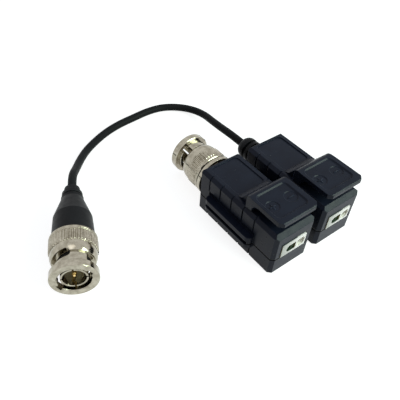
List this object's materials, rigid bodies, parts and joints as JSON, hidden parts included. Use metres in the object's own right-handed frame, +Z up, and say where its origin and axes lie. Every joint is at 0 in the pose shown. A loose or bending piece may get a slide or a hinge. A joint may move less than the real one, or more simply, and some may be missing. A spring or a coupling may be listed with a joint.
{
  "type": "video balun pair",
  "caption": "Press-terminal video balun units joined by side rails, one with a rigid bayonet connector and one with a short cable and bayonet plug.",
  "frame": {"origin": "middle of the two units' bottom, cable and plug left out", "axes": "wire terminals face -Y, connectors face +Y, +Z up, units side by side along X"},
  "size_m": [0.0985, 0.0935, 0.0224],
  "materials": {
    "housing_plastic": "fine satin moulding",
    "lever_plastic": "fine satin moulding",
    "terminal_plastic": "smooth off-white moulding",
    "spring_steel": "bright strip",
    "contact_brass": "tinned strip",
    "board_laminate": "solder mask",
    "ferrite": "sintered",
    "copper_wire": "enamelled",
    "chip_plastic": "moulded",
    "chip_ceramic": "ceramic",
    "lead_insulation": "extruded",
    "lead_insulation_dark": "extruded",
    "nickel": "bright nickel plate",
    "insulator_plastic": "smooth",
    "gold_pin": "gold plate",
    "gasket_rubber": "soft moulding",
    "boot_rubber": "satin moulding",
    "cord_sheath": "satin extrusion"
  },
  "bodies": {
    "joined_units": {"near_upper_housing": "housing_plastic", "near_lower_housing": "housing_plastic", "near_terminal_block": "terminal_plastic", "near_positive_clamp": "spring_steel", "near_negative_clamp": "spring_steel", "near_positive_contact": "contact_brass", "near_negative_contact": "contact_brass", "near_circuit_board": "board_laminate", "near_balun_core": "ferrite", "near_balun_winding": "copper_wire", "near_surge_suppressor": "chip_plastic", "near_coupling_capacitor": "chip_ceramic", "near_signal_lead": "lead_insulation", "near_ground_lead": "lead_insulation_dark", "far_upper_housing": "housing_plastic", "far_lower_housing": "housing_plastic", "far_terminal_block": "terminal_plastic", "far_positive_clamp": "spring_steel", "far_negative_clamp": "spring_steel", "far_positive_contact": "contact_brass", "far_negative_contact": "contact_brass", "far_circuit_board": "board_laminate", "far_balun_core": "ferrite", "far_balun_winding": "copper_wire", "far_surge_suppressor": "chip_plastic", "far_coupling_capacitor": "chip_ceramic", "far_signal_lead": "lead_insulation", "far_ground_lead": "lead_insulation_dark", "near_connector_body": "nickel", "near_insulator": "insulator_plastic", "near_centre_pin": "gold_pin", "near_gasket": "gasket_rubber", "near_spring_washer": "spring_steel", "near_lock_nut": "nickel", "far_gland": "boot_rubber", "cord": "cord_sheath", "plug_boot": "boot_rubber", "plug_body": "nickel", "plug_insulator": "insulator_plastic", "plug_centre_pin": "gold_pin", "plug_gasket": "gasket_rubber", "plug_spring_washer": "spring_steel"},
    "near_lever": {"near_press_lever": "lever_plastic"},
    "far_lever": {"far_press_lever": "lever_plastic"},
    "near_nut": {"near_coupling_nut": "nickel"},
    "plug_nut": {"plug_coupling_nut": "nickel"}
  },
  "joints": [
    {"name": "near_lever_press", "type": "hinge", "parent": "joined_units", "child": "near_lever", "pos_m": [-0.01093, -0.01112, 0.0152], "axis": [1, 0, 0], "range_deg": [0, 10], "stiffness_Nm_per_rad": 0.3, "springref_deg": -5.73, "deforming": ["near_positive_clamp", "near_negative_clamp"]},
    {"name": "far_lever_press", "type": "hinge", "parent": "joined_units", "child": "far_lever", "pos_m": [0.00937, -0.01112, 0.0152], "axis": [1, 0, 0], "range_deg": [0, 10], "stiffness_Nm_per_rad": 0.3, "springref_deg": -5.73, "deforming": ["far_positive_clamp", "far_negative_clamp"]},
    {"name": "near_nut_turn", "type": "hinge", "parent": "joined_units", "child": "near_nut", "pos_m": [-0.01093, 0.01537, 0.0085], "axis": [0, 1, 0], "continuous": true},
    {"name": "plug_nut_turn", "type": "hinge", "parent": "joined_units", "child": "plug_nut", "pos_m": [-0.06776, 0.00636, 0.00745], "axis": [0.4344, 0.9007, 0], "continuous": true}
  ]
}
